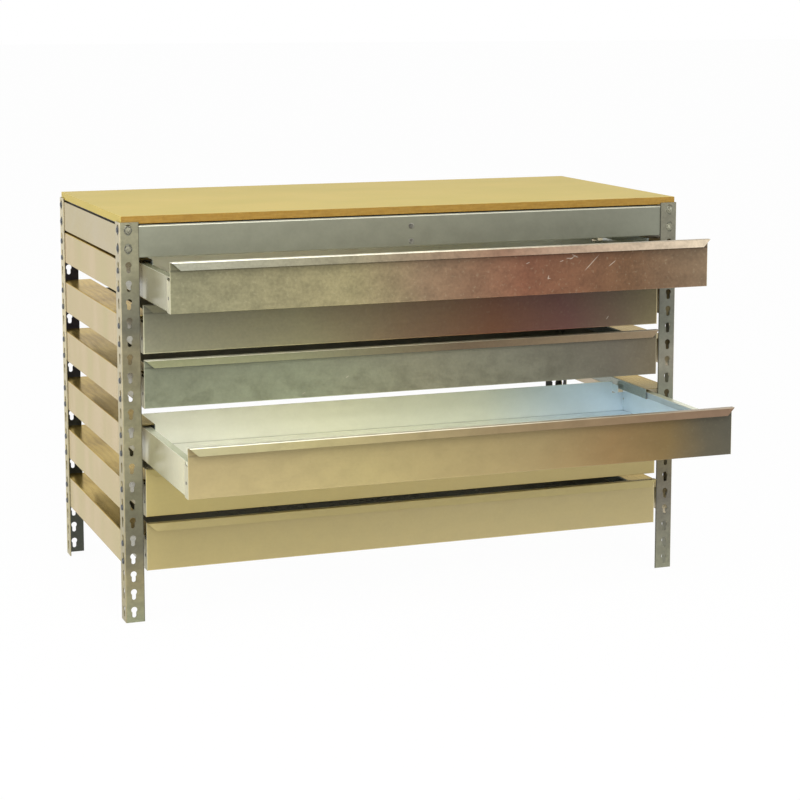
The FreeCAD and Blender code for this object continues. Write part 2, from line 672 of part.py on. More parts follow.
def round_discs(body, name, plane, offset, radius):
    """Rounds the discs' edges that lie at an offset along the plane's normal."""
    axis, sign = {"XZ_Plane": (1, "-"), "YZ_Plane": (0, "")}[plane]
    wanted = number(f"{sign}({offset})")

    def at_offset(points):
        return all(near(point[axis], wanted) for point in points)

    dress(body, "Fillet", name, radius, at_offset)


def add_rivets(body, name, plane, outward, places, outer, inner, kind, dome):
    """Rivets square to a plane, between the levels of the outer and the inner sheet's faces.

    Returns the offset of their heads' tops along the plane's normal.
    """
    sign = {"XZ_Plane": "-", "YZ_Plane": ""}[plane]
    side = "+" if outward else "-"
    outside = f"{sign}({outer})"
    inside = f"{sign}({inner})"
    top = f"{outside} {side} {dome}"
    grip = f"abs({outer} - ({inner}))"
    add_discs(body, f"{name}_heads", plane, outside, places, f"{kind}_head / 2", dome, not outward)
    round_discs(body, f"{name}_domes", plane, top, f"{dome} * dome_share")
    add_discs(body, f"{name}_necks", plane, outside, places, f"{kind}_neck / 2", grip, outward)
    tail_high = f"{kind}_tail_high"
    add_discs(body, f"{name}_tails", plane, inside, places, f"{kind}_tail / 2", tail_high, outward)
    return top


def new_rivets(label):
    body = new_body(label)
    body.AllowCompound = True
    return body


# Beam bolts: a washer face with a button on it, over the post's keyhole, and a nut in the beam
def make_beam_bolts():
    edge = f"({HALF_WIDTH} - hole_inset)"
    across_places = [(f"{sign}{edge}", up) for sign in ("-", "") for up in BEAM_BOLTS]
    along = ("hole_inset", "bench_depth - hole_inset")
    along_places = [(place_along, up) for place_along in along for up in BEAM_BOLTS]
    grip = "(post_sheet + beam_sheet)"
    rows = (
        ("front", "XZ_Plane", True, across_places, "0", grip),
        ("back", "XZ_Plane", False, across_places, "bench_depth", f"bench_depth - {grip}"),
        ("left", "YZ_Plane", False, along_places, f"-{HALF_WIDTH}", f"-{HALF_WIDTH} + {grip}"),
        ("right", "YZ_Plane", True, along_places, HALF_WIDTH, f"{HALF_WIDTH} - {grip}"),
    )
    for side, plane, outward, places, outer, inner in rows:
        body = new_rivets(f"beam_bolts_{side}")
        washer = add_rivets(body, "all", plane, outward, places, outer, inner, "bolt", "bolt_washer")
        radius = "bolt_button / 2"
        add_discs(body, "buttons", plane, washer, places, radius, "bolt_button_high", not outward)
        sign = "+" if outward else "-"
        top = f"{washer} {sign} bolt_button_high"
        round_discs(body, "button_rounds", plane, top, "bolt_button_high * dome_share")
        place(body)


def make_tie_rivets():
    body = new_rivets("tie_bar_rivets")
    places = [("0", up) for up in TIE_RIVETS]
    face = "post_sheet"
    through = "(beam_sheet + tie_sheet)"
    add_rivets(body, "front", "XZ_Plane", True, places, face, f"{face} + {through}", "rivet", "tie_dome")
    rear = f"(bench_depth - {face})"
    add_rivets(body, "back", "XZ_Plane", False, places, rear, f"{rear} - {through}", "rivet", "tie_dome")
    place(body)


def make_rail_rivets(side):
    body = new_rivets(f"rail_rivets_{side}")
    sign = {"left": "-", "right": ""}[side]
    levels = []
    for number_down in range(1, DRAWERS + 1):
        upper = f"{RAIL_RIVET} - {number_down - 1} * {DRAWER_PITCH}"
        levels += [upper, f"{upper} - hole_pitch"]
    places = [(along, up) for along in ("hole_inset", "bench_depth - hole_inset") for up in levels]
    outer = f"{sign}{HALF_WIDTH}"
    inner = f"{sign}({RAIL_OUT} - rail_sheet)"
    add_rivets(body, "all", "YZ_Plane", side == "right", places, outer, inner, "rivet", "rivet_dome")
    place(body)


def make_drawer_rivets(number_down):
    body = new_rivets(f"drawer_rivets_{number_down}")
    for end, along, outer in (("front", DRAWER_RIVETS[0], FACE_OUT), ("rear", DRAWER_RIVETS[1], TRAY_OUT)):
        inner = f"({outer} - 2 * drawer_sheet)"
        spot = [(along, PIN_HEIGHT)]
        add_rivets(body, f"{end}_left", "YZ_Plane", False, spot, f"-{outer}", f"-{inner}", "pin", "pin_dome")
        add_rivets(body, f"{end}_right", "YZ_Plane", True, spot, outer, inner, "pin", "pin_dome")
    place_drawer(body, number_down)


DRAWERS = int(number("drawer_count"))
LONG_BEAM = f"(bench_width - 2 * {BEAM_SET_BACK})"
SHORT_BEAM = f"(bench_depth - 2 * {BEAM_SET_BACK})"
MIDDLE = "bench_depth / 2"

make_board()
make_post("post_front_left", 0, f"-{HALF_WIDTH}", "0")
make_post("post_front_right", 90, HALF_WIDTH, "0")
make_post("post_back_right", 180, HALF_WIDTH, "bench_depth")
make_post("post_back_left", 270, f"-{HALF_WIDTH}", "bench_depth")
make_beam("front_beam", 0, "0", "post_sheet", LONG_BEAM, True)
make_beam("back_beam", 180, "0", "bench_depth - post_sheet", LONG_BEAM, True)
make_beam("side_beam_right", 90, f"{HALF_WIDTH} - post_sheet", MIDDLE, SHORT_BEAM, False)
make_beam("side_beam_left", 270, f"-{HALF_WIDTH} + post_sheet", MIDDLE, SHORT_BEAM, False)
make_tie()
make_beam_bolts()
make_tie_rivets()
for side in ("left", "right"):
    make_rail_rivets(side)
for count in range(1, DRAWERS + 1):
    make_rail(count, "left")
    make_rail(count, "right")
    make_tray(count)
    make_front(count)
    make_back(count)
    make_drawer_rivets(count)

doc.recompute()
for item in doc.Objects:
    assert not {"Invalid", "Error"} & set(item.State), item.Label
os.makedirs("parts", exist_ok=True)
for piece in PIECES:
    assert not piece.Shape.isNull() and piece.Shape.isValid(), piece.Label
    piece.Shape.exportStep(f"parts/{piece.Label}.step")
    print(piece.Label, len(piece.Shape.Solids), round(piece.Shape.Volume))
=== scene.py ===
import math

import bmesh
import bpy
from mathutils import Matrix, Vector


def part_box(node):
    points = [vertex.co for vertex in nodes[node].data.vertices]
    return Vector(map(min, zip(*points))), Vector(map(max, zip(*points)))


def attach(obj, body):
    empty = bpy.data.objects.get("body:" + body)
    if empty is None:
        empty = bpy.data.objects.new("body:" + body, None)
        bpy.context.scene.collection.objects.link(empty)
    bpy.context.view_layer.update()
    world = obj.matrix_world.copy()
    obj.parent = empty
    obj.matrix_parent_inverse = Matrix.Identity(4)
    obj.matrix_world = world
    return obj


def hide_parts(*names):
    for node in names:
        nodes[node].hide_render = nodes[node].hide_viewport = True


# Workbench of keyhole angle posts with a board top and six sheet-metal drawers.
# The drawers hang in side rails. Lengths are metres, with the bench's front towards -Y and Z up.

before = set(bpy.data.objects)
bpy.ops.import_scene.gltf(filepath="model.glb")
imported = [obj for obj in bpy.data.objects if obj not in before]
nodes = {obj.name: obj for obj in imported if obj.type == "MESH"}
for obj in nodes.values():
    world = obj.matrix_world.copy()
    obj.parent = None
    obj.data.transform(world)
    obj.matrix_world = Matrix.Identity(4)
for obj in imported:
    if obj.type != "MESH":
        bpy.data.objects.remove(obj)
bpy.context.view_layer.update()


# Camera: stands to the left of the bench, above its top, and looks a little down.
# Its place and lens come from a fit to the posts' corners and the drawer fronts.
camera_place = (-1.5828, -4.2954, 1.2827)
camera_tilt = math.radians(82.455)
camera_turn = math.radians(-20.459)
focal_pixels = 2098.7
picture_pixels = 800
camera_drop_pixels = 120

lens = bpy.data.cameras.new("photo_camera")
lens.lens = focal_pixels * lens.sensor_width / picture_pixels
lens.shift_y = -camera_drop_pixels / picture_pixels
camera = bpy.data.objects.new("photo_camera", lens)
camera.location = camera_place
camera.rotation_euler = (camera_tilt, 0, camera_turn)
bpy.context.scene.collection.objects.link(camera)
bpy.context.scene.camera = camera


# Studio: a pale floor under the posts' feet, a white surround and soft lamps at the left, in front
# and above. Camera and glossy rays see the white, and the floor keeps a faint shadow.
class Wire:
    """One socket of a material. Sums and products of wires add their own Math nodes."""

    def __init__(self, tree, socket=None):
        self.tree = tree
        self.socket = socket

    def node(self, kind, settings={}, sockets={}, output=0):
        """A new node with its settings made first, then its sockets' values or links."""
        made = self.tree.nodes.new(kind)
        for name, value in settings.items():
            if name == "stops":
                for stop in list(made.color_ramp.elements)[1:]:
                    made.color_ramp.elements.remove(stop)
                made.color_ramp.elements[0].position = value[0][0]
                made.color_ramp.elements[0].color = (*value[0][1], 1)
                for at, colour in value[1:]:
                    made.color_ramp.elements.new(at).color = (*colour, 1)
            else:
                setattr(made, name, value)
        for name, value in sockets.items():
            if isinstance(value, Wire):
                self.tree.links.new(value.socket, made.inputs[name])
            else:
                made.inputs[name].default_value = value
        return Wire(self.tree, made.outputs[output])

    def feed(self, made, name):
        """Links this value to a socket of a node that is already made."""
        self.tree.links.new(self.socket, made.inputs[name])

    def math(self, operation, *others):
        sockets = dict(enumerate((self, *others)))
        return self.node("ShaderNodeMath", {"operation": operation}, sockets)

    def __add__(self, other):
        return self.math("ADD", other)

    def __sub__(self, other):
        return self.math("SUBTRACT", other)

    def __rsub__(self, other):
        return self.node("ShaderNodeMath", {"operation": "SUBTRACT"}, {0: other, 1: self})

    def __mul__(self, other):
        return self.math("MULTIPLY", other)

    def __truediv__(self, other):
        return self.math("DIVIDE", other)

    def __abs__(self):
        return self.math("ABSOLUTE")

    __radd__ = __add__
    __rmul__ = __mul__

    def swing(self, amount):
        """A value about a half turned into one about 0, times that amount."""
        return (self - 0.5) * amount

    def share(self, low, high):
        """How far this length lies from the low one to the high one, as a share."""
        return (self - low) / (high - low)

    def between(self, low, high):
        """0 below the low value, 1 above the high one, and a smooth rise between them."""
        settings = {"interpolation_type": "SMOOTHSTEP"}
        return self.node("ShaderNodeMapRange", settings, {0: self, 1: low, 2: high})

    def past(self, ends, unit, base=0):
        """The same rise, with both its ends counted in a unit of length from the base."""
        return self.between(base + ends[0] * unit, base + ends[1] * unit)

    def along(self, letter):
        """This place's X, Y or Z."""
        return self.node("ShaderNodeSeparateXYZ", {}, {"Vector": self}, output=letter)

    def ramp(self, stops):
        """The colour at this share of the way along the stops."""
        return self.node("ShaderNodeValToRGB", {"stops": stops}, {"Fac": self})

    def mix(self, share, other, blend="MIX"):
        """This colour with a share of another in it. The node's colours go by number: 6, 7 and out 2."""
        other = other if isinstance(other, Wire) else (*other, 1)
        settings = {"data_type": "RGBA", "blend_type": blend}
        return self.node("ShaderNodeMix", settings, {"Factor": share, 6: self, 7: other}, output=2)

    def shaded(self, shade):
        """This colour times a number."""
        grey = self.node("ShaderNodeCombineColor", {}, {0: shade, 1: shade, 2: shade})
        return self.mix(1, grey, "MULTIPLY")


def white_for_sight(tree, share, lit):
    """A shader that camera, glossy and transmission rays see as white by that share."""
    camera_ray, glossy_ray, through_ray = (
        Wire(tree).node("ShaderNodeLightPath", output=f"Is {kind} Ray")
        for kind in ("Camera", "Glossy", "Transmission")
    )
    seen = camera_ray.math("MAXIMUM", glossy_ray).math("MAXIMUM", through_ray) * share
    white = seen.node("ShaderNodeEmission", {}, {"Color": (1, 1, 1, 1), "Strength": 1})
    return seen.node("ShaderNodeMixShader", {}, {0: seen, 1: lit, 2: white})


floor_half = 60
floor_pale = (0.9, 0.9, 0.89, 1)
floor_rough = 0.9
floor_white_share = 0.97
surround_white = (1, 1, 1, 1)
surround_light = 0.55

shape = bmesh.new()
bmesh.ops.create_grid(shape, x_segments=2, y_segments=2, size=floor_half)
floor_mesh = bpy.data.meshes.new("floor")
shape.to_mesh(floor_mesh)
shape.free()
floor = bpy.data.objects.new("floor", floor_mesh)
bpy.context.scene.collection.objects.link(floor)
floor_paint = bpy.data.materials.new("floor_paint")
floor_paint.use_nodes = True
floor_tree = floor_paint.node_tree
floor_shader = floor_tree.nodes["Principled BSDF"]
floor_shader.inputs["Base Color"].default_value = floor_pale
floor_shader.inputs["Roughness"].default_value = floor_rough
matt_floor = Wire(floor_tree, floor_shader.outputs[0])
floor_look = white_for_sight(floor_tree, floor_white_share, matt_floor)
floor_look.feed(floor_tree.nodes["Material Output"], "Surface")
floor_mesh.materials.append(floor_paint)

surround = bpy.data.worlds.new("white_surround")
surround.use_nodes = True
surround_tree = surround.node_tree
surround_shader = surround_tree.nodes["Background"]
surround_shader.inputs["Color"].default_value = surround_white
surround_shader.inputs["Strength"].default_value = surround_light
surround_look = white_for_sight(surround_tree, 1, Wire(surround_tree, surround_shader.outputs[0]))
surround_look.feed(surround_tree.nodes["World Output"], "Surface")
bpy.context.scene.world = surround

bench_middle = Vector((0, 0, 0.45))
lamps = (
    ("left_softbox", (-4.6, -1.6, 2.4), 2.6, 90),
    ("front_softbox", (-0.9, -5.6, 1.5), 2.2, 25),
    ("top_softbox", (-0.3, -4.0, 3.6), 2.6, 165),
)
for name, place, size, watts in lamps:
    light = bpy.data.lights.new(name, "AREA")
    light.size = size
    light.energy = watts
    lamp = bpy.data.objects.new(name, light)
    lamp.location = place
    lamp.rotation_euler = (Vector(place) - bench_middle).to_track_quat("Z", "Y").to_euler()
    bpy.context.scene.collection.objects.link(lamp)
bpy.context.scene.view_settings.view_transform = "Standard"


# Angle posts: four L-shaped posts of 2 mm sheet, zinc coated in the roll before the keyholes are
# punched and the corner is folded. They stand on their bare ends and carry everything else.
cloud_band = (0.3, 0.7)
patch_scale = 26
patch_stretch = (1, 1, 1.3)
grain_scale = 150
rolling_scale = 9
rolling_stretch = (1, 1, 22)
patch_share = 1.2
grain_share = 0.5
rolling_share = 0.8
patch_gloss_share = 0.6
patch_height = 0.5
speck_height = 0.25
rolling_height = 0.25
zinc_bump_high = 0.002


def start_finish(name):
    """A new material: returns it, its shader and a wire that carries the Object coordinates."""
    finish = bpy.data.materials.new(name)
    finish.use_nodes = True
    tree = finish.node_tree
    place = Wire(tree).node("ShaderNodeTexCoord", output="Object")
    return finish, tree.nodes["Principled BSDF"], place


def cloud(place, scale, detail=3, stretch=(1, 1, 1), shift=(0, 0, 0)):
    """Soft random values about a half, as many to the metre as the scale says."""
    spot = place.node("ShaderNodeMapping", {}, {"Vector": place, "Scale": stretch, "Location": shift})
    sockets = {"Vector": spot, "Scale": scale, "Detail": detail}
    return place.node("ShaderNodeTexNoise", {}, sockets, output="Fac")


def spangle(place, scale):
    """Zinc crystals: a random number for each grain."""
    grains = place.node("ShaderNodeTexVoronoi", {}, {"Vector": place, "Scale": scale}, output="Color")
    return place.node("ShaderNodeSeparateColor", {}, {"Color": grains})


def zinc_finish(
    name, paint, seed, metal=0.55, rough=0.42, uneven=0.22, mottle=0.16, speck=0.1, relief=0.08
):
    """Galvanised sheet: the paint function's tone, mottled by cloudy zinc, specks and rolling lines."""
    finish, shader, place = start_finish(name)
    patches = cloud(place, patch_scale, 5, patch_stretch, shift=(seed, seed, 0)).between(*cloud_band)
    specks = cloud(place, grain_scale, shift=(0, 0, seed)).between(*cloud_band)
    grains = spangle(place, grain_scale)
    rolled = cloud(place, rolling_scale, 4, rolling_stretch, shift=(0, seed, 0))
    shade = 1 + patches.swing(patch_share * mottle) + specks.swing(speck)
    shade = shade + grains.swing(grain_share * mottle) + rolled.swing(rolling_share * mottle)
    paint(place).shaded(shade).feed(shader, "Base Color")
    gloss = rough + patches.swing(patch_gloss_share * uneven) + grains.swing(grain_share * uneven)
    gloss.feed(shader, "Roughness")
    shader.inputs["Metallic"].default_value = metal
    height = patches * patch_height + specks * speck_height + rolled * rolling_height
    sockets = {"Height": height, "Strength": relief, "Distance": zinc_bump_high}
    place.node("ShaderNodeBump", {}, sockets).feed(shader, "Normal")
    return finish


def dress(node, finish):
    """A CAD piece shows as it is, with this finish on its every face."""
    mesh = nodes[node].data
    mesh.materials.clear()
    mesh.materials.append(finish)


# Each pair of ends, here and below, says where a tone starts and where it is full. These are in
# thicknesses of the sheet, from its free edge or its outer skin.
post_sheet = 0.002
# Painted shade: each front flange darkens along its free edge, as in the shadow beside the post's edge.
post_rim_ends = (0.4, 0.9)
post_rim_shade = 0.6
post_inner_ends = (0.6, 0.8)
post_outer_ends = (-0.8, -0.6)
half_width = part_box("post_front_right")[1].x
# Painted light: the outer skins of the side flanges are paler than the front flanges, as if lit from the
# side.
post_side_lit = [
    (0, (0.36, 0.31, 0.17)), (0.4, (0.40, 0.35, 0.20)), (0.65, (0.50, 0.44, 0.28)),
    (1, (0.50, 0.44, 0.29)),
]
post_side_back_lit = [
    (0, (0.46, 0.40, 0.21)), (0.4, (0.52, 0.45, 0.25)), (0.65, (0.64, 0.56, 0.34)),
    (1, (0.64, 0.56, 0.35)),
]
# Painted shade: the back posts' inner faces, dark blue-grey as if in shadow.
post_inside_shade = [(0, (0.075, 0.08, 0.06)), (0.35, (0.06, 0.065, 0.055)), (0.6, (0.05, 0.045, 0.065))]
post_fronts = {
    "post_front_left": [
        (0, (0.267, 0.277, 0.174)), (0.1, (0.28, 0.242, 0.132)), (0.18, (0.143, 0.133, 0.0874)),
        (0.31, (0.16, 0.152, 0.0923)), (0.45, (0.286, 0.263, 0.162)), (0.55, (0.216, 0.203, 0.126)),
        (0.68, (0.225, 0.198, 0.117)), (0.735, (0.133, 0.128, 0.09)), (0.9, (0.261, 0.248, 0.162)),
    ],
    "post_front_right": [
        (0, (0.243, 0.243, 0.171)), (0.2, (0.171, 0.156, 0.123)), (0.3, (0.16, 0.137, 0.0777)),
        (0.47, (0.167, 0.177, 0.131)), (0.58, (0.252, 0.236, 0.181)), (0.66, (0.167, 0.171, 0.131)),
        (0.73, (0.151, 0.151, 0.12)), (0.9, (0.182, 0.174, 0.129)), (1, (0.207, 0.199, 0.145)),
    ],
    "post_back_left": [(0, (0.18, 0.18, 0.144)), (1, (0.243, 0.234, 0.162))],
    "post_back_right": [(0, (0.18, 0.18, 0.153)), (1, (0.216, 0.216, 0.171))],
}


def post_paint(node, stops):
    """Its front flange's tones from foot to top, with painted shade at the free edge, painted light
    making the outer side paler, and painted shade on the back posts' inner faces.
    """
    low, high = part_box(node)
    free_edge = min(abs(low.x), abs(high.x))

    def paint(place):
        up = place.along("Z").share(low.z, high.z)
        reach = abs(place.along("X"))
        # Painted shade along the flange's free edge.
        rim = 1 - (reach - free_edge).past(post_rim_ends, post_sheet)
        front = up.ramp(stops).shaded(1 - rim * post_rim_shade)
        # Painted light on the outer side flange.
        side = up.ramp(post_side_back_lit if "back" in node else post_side_lit)
        both = front.mix(reach.past(post_outer_ends, post_sheet, half_width), side)
        if "back" not in node:
            return both
        # Painted shade on the back posts' inner faces.
        behind = (high.y - place.along("Y")).past(post_inner_ends, post_sheet)
        within = (half_width - reach).past(post_inner_ends, post_sheet)
        return both.mix(behind * within, up.ramp(post_inside_shade))

    return paint


for count, (node, stops) in enumerate(post_fronts.items()):
    dress(node, zinc_finish(f"{node}_zinc", post_paint(node, stops), seed=count))


# Beams and tie bar: folded zinc-coated sheet. The four beams are bolted through the posts' top
# keyholes and the board lies on their ledges, with the tie bar riveted across the middle.
beam_tones = [(0, (0.261, 0.266, 0.198)), (0.5, (0.239, 0.239, 0.176)), (1, (0.211, 0.216, 0.167))]
# Painted highlight: a pale line along the beam web's top fold. Painted shade: near black on the step
# under the board.
beam_fold_highlight = (0.68, 0.68, 0.56)
beam_shade = (0.006, 0.005, 0.004)
# Painted light: the side beams' tan is paler than the front beam's grey, as if lit from the left.
beam_side_lit = [(0, (0.51, 0.43, 0.235)), (1, (0.53, 0.45, 0.29))]
beam_side_scale = 2.5
beam_step_high = 0.004
beam_fold_high = 0.0022
fold_highlight_ends = (-1, -0.5)
shade_ends = (0, 0.5)
side_shade_ends = (-0.5, 0)
beam_low, beam_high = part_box("front_beam")
web_top = beam_high.z - beam_step_high


def beam_paint(place):
    """Greyer to the right, with a painted highlight along the web's top fold and painted shade under the
    board.
    """
    web = place.along("X").share(beam_low.x, beam_high.x).ramp(beam_tones)
    up = place.along("Z")
    web = web.mix(up.past(fold_highlight_ends, beam_fold_high, web_top), beam_fold_highlight)
    return web.mix(up.past(shade_ends, beam_fold_high, web_top), beam_shade)


def side_beam_paint(place):
    """Pale tan in slow patches, painted paler than the front beam as light from the left, with the same
    painted shade under the board.
    """
    drift = cloud(place, beam_side_scale, detail=2, shift=(3, 0, 0)).between(*cloud_band)
    shade = place.along("Z").past(side_shade_ends, beam_fold_high, web_top)
    return drift.ramp(beam_side_lit).mix(shade, beam_shade)


beam_zinc = zinc_finish(
    "beam_zinc", beam_paint, seed=4, uneven=0.1, mottle=0.03, speck=0.04, relief=0.04
)
side_zinc = zinc_finish(
    "side_beam_zinc", side_beam_paint, seed=5, uneven=0.1, mottle=0.03, speck=0.03, relief=0.04
)
for node in ("front_beam", "back_beam", "centre_tie_bar"):
    dress(node, beam_zinc)
for node in ("side_beam_left", "side_beam_right"):
    dress(node, side_zinc)


# Worktop board: one panel of sanded fibreboard, 16 mm thick, laid loose on the beams' ledges.
# Its sawn front and back edges show the darker core, and its sealed ends are as pale as its face.
board_low, board_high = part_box("worktop_board")
board_round = 0.0008
board_corner = 0.002
facing = math.sqrt(0.5)

shape = bmesh.new()
bmesh.ops.create_cube(shape, size=1)
size = board_high - board_low
bmesh.ops.scale(shape, vec=size, verts=shape.verts)
bmesh.ops.translate(shape, vec=(board_low + board_high) / 2, verts=shape.verts)
upright = [e for e in shape.edges if abs(e.verts[0].co.z - e.verts[1].co.z) > size.z / 2]
bmesh.ops.bevel(
    shape, geom=upright, offset=board_corner, segments=4, profile=0.5, affect="EDGES", material=-1
)
flat = [f for f in shape.faces if abs(f.normal.z) > facing]
rim = list({e for f in flat for e in f.edges})
bmesh.ops.bevel(
    shape, geom=rim, offset=board_round, segments=3, profile=0.5, affect="EDGES", material=-1
)
board_mesh = bpy.data.meshes.new("board_panel")
shape.to_mesh(board_mesh)
shape.free()
board = bpy.data.objects.new("board_panel", board_mesh)
bpy.context.scene.collection.objects.link(board)

board_face = [(0.25, (0.54, 0.425, 0.083)), (0.75, (0.61, 0.46, 0.103))]
board_edge = [(0.25, (0.285, 0.155, 0.021)), (0.75, (0.36, 0.215, 0.042))]
fibre_scale = 160
fibre_stretch = (1, 2.5, 1)
fibre_gloss = 0.2
fibre_height = 0.6
fleck_scale = 700
fleck_shade = 0.08
fleck_height = 0.4
board_shine = 0.3
board_relief = 0.15
board_bump_high = 0.0006


def board_finish(name, tones, scale, stretch, rough, fibre_shade):
    """Fibreboard: two tones in soft patches, with short fibres and dark flecks."""
    finish, shader, place = start_finish(name)
    fibres = cloud(place, fibre_scale, detail=6, stretch=fibre_stretch)
    flecks = cloud(place, fleck_scale, detail=2)
    patches = cloud(place, scale, detail=4, stretch=stretch)
    shade = 1 + fibres.swing(fibre_shade) + flecks.swing(fleck_shade)
    patches.ramp(tones).shaded(shade).feed(shader, "Base Color")
    (rough + fibres.swing(fibre_gloss)).feed(shader, "Roughness")
    shader.inputs["Specular IOR Level"].default_value = board_shine
    height = fibres * fibre_height + flecks * fleck_height
    sockets = {"Height": height, "Strength": board_relief, "Distance": board_bump_high}
    place.node("ShaderNodeBump", {}, sockets).feed(shader, "Normal")
    return finish


board_mesh.materials.append(
    board_finish("board_face", board_face, scale=5, stretch=(1, 1.6, 1), rough=0.5, fibre_shade=0.12)
)
board_mesh.materials.append(
    board_finish("board_sawn_edge", board_edge, scale=40, stretch=(1, 1, 6), rough=0.7, fibre_shade=0.4)
)
for face in board_mesh.polygons:
    face.material_index = int(abs(face.normal.y) > facing)
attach(board, "frame")
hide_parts("worktop_board")


# Drawer rails: six on each side, folded zinc-coated sheet riveted into the posts' keyholes.
# Each has an outer web, a shelf and a lip that hangs inside the drawer and carries it.
drawer_count = 6
rail_sheet = 0.0012
web_ends = (2, 2.2)
lip_ends = (1, 1.4)
# Painted light and painted reflection: the webs are cream as if lit from the side, with soft vertical
# streaks of reflection.
rail_web_lit = [(0, (0.565, 0.525, 0.38)), (0.5, (0.605, 0.535, 0.415)), (1, (0.65, 0.565, 0.47))]
rail_lip = (0.34, 0.39, 0.39)
rail_edge_tint = (0.80, 0.68, 0.40, 1)
web_reflection_scale = 11
web_reflection_stretch = (1, 1, 0.3)
# Painted reflection: the shelves' tones, dark brown to gold, and their wavy lines.
shelf_reflection_tones = [(0.3, (0.28, 0.17, 0.028)), (0.5, (0.50, 0.36, 0.10)), (0.7, (0.66, 0.50, 0.17))]
shelf_scale = 5
shelf_stretch = (1, 1, 3)
shelf_reflection_wave = {"Scale": 22, "Distortion": 9, "Detail": 3, "Detail Scale": 0.35}
reflection_wave_swing = 0.1
# Painted shade: each shelf darkens towards its front end, less on the second shelf, which is also
# painted lighter. The top shelf's front is black, a painted shadow under the front beam.
shelf_front_shade = (0.085, 0.07, 0.032)
shelf_front_shade_long = 0.16
shelf_front_shade_share = 0.8
shelf_shadow = (0.006, 0.005, 0.004)
shelf_shadow_ends = (0.4, 0.8)
second_shelf_light = 0.35
second_shelf_less_shade = 0.6
below_shelf_shares = (0.9, 0.1)
top_rail_low, top_rail_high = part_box("drawer_rail_right_1")
rail_pitch = top_rail_high.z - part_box("drawer_rail_right_2")[1].z


def down_to_shelf(up, number_down):
    """1 on this rail's shelf, counted from the top, and on those above it, and 0 on those below."""
    ends = [1 - number_down - share for share in below_shelf_shares]
    return up.past(ends, rail_pitch, top_rail_high.z)


def rail_paint(place):
    """Cream web with soft vertical streaks, painted light and reflection; tan shelf with wavy lines of
    painted reflection, painted shade at its front end and black painted shadow at the top shelf's front;
    grey-blue lip.
    """
    # Painted reflection: soft vertical streaks on the webs.
    web_reflections = cloud(place, web_reflection_scale, stretch=web_reflection_stretch, shift=(0, 0, 4)).between(*cloud_band)
    # Painted reflection on the shelves: wavy lines over soft patches.
    sockets = {"Vector": place, **shelf_reflection_wave}
    reflection_waves = place.node("ShaderNodeTexWave", {"bands_direction": "X"}, sockets, output="Fac")
    tone = cloud(place, shelf_scale, detail=2, stretch=shelf_stretch) + reflection_waves.swing(reflection_wave_swing)
    up = place.along("Z")
    # Painted shade at the shelves' front ends and painted light on the second shelf.
    top_shelf = down_to_shelf(up, 1)
    second_shelf = down_to_shelf(up, 2) - top_shelf
    front = 1 - (place.along("Y") - top_rail_low.y).between(0, shelf_front_shade_long)
    shelf = tone.ramp(shelf_reflection_tones).shaded(1 + second_shelf * second_shelf_light)
    shelf = shelf.mix(front * (shelf_front_shade_share - second_shelf * second_shelf_less_shade), shelf_front_shade)
    shelf = shelf.mix(front.between(*shelf_shadow_ends) * top_shelf, shelf_shadow)
    rails_down = (top_rail_high.z + rail_sheet - up) / rail_pitch
    on_web = (rails_down.math("FRACT") * rail_pitch).past(web_ends, rail_sheet)
    on_lip = 1 - abs(place.along("X")).past(lip_ends, rail_sheet, top_rail_low.x)
    return shelf.mix(on_web, web_reflections.ramp(rail_web_lit)).mix(on_lip, rail_lip)


rail_zinc = zinc_finish(
    "rail_zinc", rail_paint, seed=6,
    metal=0.7, rough=0.24, uneven=0.05, mottle=0.03, speck=0.015, relief=0.008,
)
rail_zinc.node_tree.nodes["Principled BSDF"].inputs["Specular Tint"].default_value = rail_edge_tint
for count in range(1, drawer_count + 1):
    dress(f"drawer_rail_left_{count}", rail_zinc)
    dress(f"drawer_rail_right_{count}", rail_zinc)


# Drawer trays and backs: each tray is one folded sheet, its top edges hooked inwards, and the back
# wall is riveted in behind. The bright zinc mirrors the walls around it. The open drawers' insides
# carry painted light and painted reflection, and the closed drawers' insides are painted duller,
# as painted shade where a closed drawer shuts out the light.
drawer_sheet = 0.001
hook_wide = 0.0168
hook_high = 0.0137
skin_ends = (0.4, 0.6)
hook_top_ends = (0.3, 0.6)
hollow_top_ends = (0.5, 0.9)
hollow_foot_ends = (1, 1.1)
hollow_side_ends = (0.6, 0.9)
lip_skin_ends = (0.3, 0.7)
lip_back_ends = (1.2, 1.6)
# Painted shade: a dark line along the foot of each inside wall, where it meets the floor.
foot_shade_ends = (1.1, 1.3)
foot_shade_over_ends = (1.5, 3)
foot_shade_dark = 0.4
tray_lip_shade_share = 0.7
# Painted light and painted reflection: the open drawers' insides, near white at the left and turning
# greyer or bluer to the right.
tray_first_lit = [
    (0, (0.99, 0.99, 0.88)), (0.45, (0.99, 0.99, 0.83)), (0.7, (0.78, 0.80, 0.66)),
    (0.85, (0.78, 0.80, 0.72)), (1, (0.60, 0.62, 0.55)),
]
tray_fourth_lit = [
    (0, (0.99, 0.99, 0.90)), (0.4, (0.97, 0.97, 0.80)), (0.7, (0.88, 0.90, 0.76)),
    (0.85, (0.74, 0.82, 0.82)), (1, (0.76, 0.88, 0.96)),
]
# Painted shade: the closed drawers' insides, dull and dark.
tray_closed_shade = [(0, (0.34, 0.32, 0.24)), (1, (0.30, 0.29, 0.22))]
tray_open_lit = {1: tray_first_lit, 4: tray_fourth_lit}
